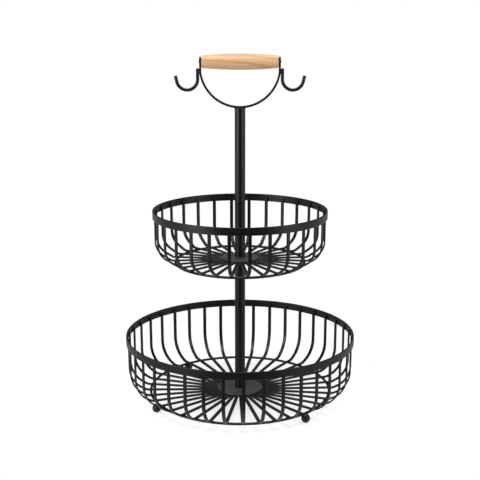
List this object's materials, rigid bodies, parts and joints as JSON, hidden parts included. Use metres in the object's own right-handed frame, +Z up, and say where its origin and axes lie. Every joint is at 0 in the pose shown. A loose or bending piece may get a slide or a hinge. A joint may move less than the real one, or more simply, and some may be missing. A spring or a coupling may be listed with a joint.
{
  "type": "tiered wire basket",
  "caption": "Two round baskets of bent flat wire on a round pole, with a half-round bow, a turned wooden grip and a wire hook on each side.",
  "frame": {"origin": "on the table, under the pole's axis", "axes": "+Z up along the pole, +X along the grip towards the right hook, -Y towards the front"},
  "size_m": [0.3, 0.3, 0.4521],
  "materials": {
    "black_powder_coat": "satin black powder coat on steel",
    "zinc_steel": "bright zinc plate",
    "beech": "fine-sanded beech, lightly oiled"
  },
  "bodies": {
    "basket_frame": {"lower_rim_band": "black_powder_coat", "lower_ribs": "black_powder_coat", "lower_floor_ring": "black_powder_coat", "lower_center_plate": "black_powder_coat", "foot_front_right": "black_powder_coat", "foot_front_left": "black_powder_coat", "foot_back_left": "black_powder_coat", "foot_back_right": "black_powder_coat", "base_screw": "zinc_steel", "base_washer": "zinc_steel", "lower_tube": "black_powder_coat", "lower_tube_bottom_bush": "zinc_steel", "lower_tube_top_bush": "zinc_steel", "joint_stud": "zinc_steel", "upper_center_plate": "black_powder_coat", "upper_ribs": "black_powder_coat", "upper_floor_ring": "black_powder_coat", "upper_rim_band": "black_powder_coat", "upper_tube": "black_powder_coat", "upper_tube_bottom_bush": "zinc_steel", "upper_tube_top_plug": "zinc_steel", "handle_bow": "black_powder_coat", "left_hook": "black_powder_coat", "right_hook": "black_powder_coat", "grip_rod": "zinc_steel"},
    "grip": {"wood_grip": "beech"}
  },
  "joints": [
    {"name": "grip_spin", "type": "hinge", "parent": "basket_frame", "child": "grip", "pos_m": [0, 0, 0.44209], "axis": [1, 0, 0], "continuous": true}
  ]
}
